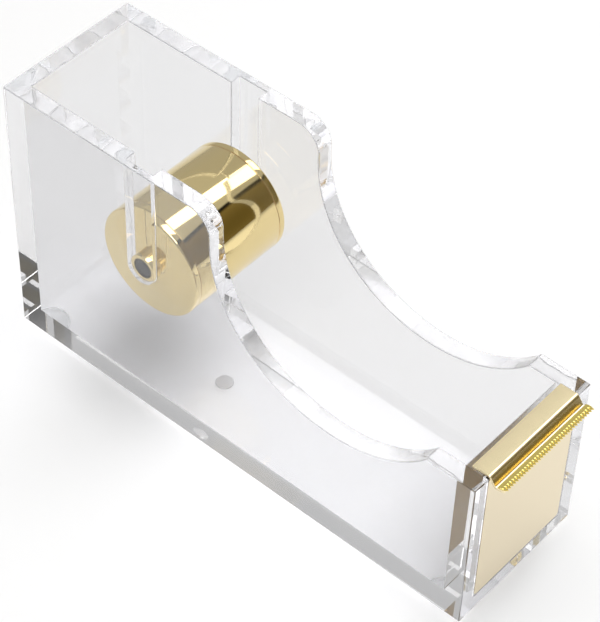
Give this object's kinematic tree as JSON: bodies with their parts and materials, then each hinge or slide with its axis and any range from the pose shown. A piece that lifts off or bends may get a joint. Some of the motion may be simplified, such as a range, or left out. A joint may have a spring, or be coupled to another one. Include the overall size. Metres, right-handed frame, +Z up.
{
  "type": "tape dispenser",
  "caption": "Clear acrylic desktop tape dispenser with a swept open bay, lift-out gold core roller, gold mirror front plate and gold serrated cutter.",
  "frame": {"origin": "middle of the footprint's bounding box, on the surface that the feet stand on", "axes": "+X to the cutter at the front, +Y to the dispenser's left side, +Z up"},
  "size_m": [0.123, 0.035, 0.0673],
  "materials": {
    "clear_acrylic": "water-clear cast acrylic sheet with polished edges",
    "gold_mirror": "gold mirror sheet, polished",
    "gold_steel": "bright gold plated sheet steel",
    "gold_plating": "bright gold plated moulded plastic",
    "dark_rod": "dark brown-black, satin",
    "adhesive": "clear double-sided adhesive",
    "clear_rubber": "clear soft bumper"
  },
  "bodies": {
    "body": {"base_panel": "clear_acrylic", "back_panel": "clear_acrylic", "front_panel": "clear_acrylic", "left_side_panel": "clear_acrylic", "right_side_panel": "clear_acrylic", "front_plate": "gold_mirror", "plate_adhesive": "adhesive", "tape_rest": "gold_steel", "rest_adhesive": "adhesive", "cutter_blade": "gold_steel", "foot_front_left": "clear_rubber", "foot_front_right": "clear_rubber", "foot_rear_left": "clear_rubber", "foot_rear_right": "clear_rubber"},
    "axle": {"axle_rod": "dark_rod"},
    "roller": {"roller_shell": "gold_plating", "roller_cap_left": "gold_plating", "roller_cap_right": "gold_plating"}
  },
  "joints": [
    {"name": "roller_lift", "type": "slide", "parent": "body", "child": "axle", "axis": [0, 0, 1], "range_m": [0, 0.042]},
    {"name": "roller_spin", "type": "hinge", "parent": "axle", "child": "roller", "pos_m": [-0.02604, 0, 0.0403], "axis": [0, 1, 0], "continuous": true}
  ]
}
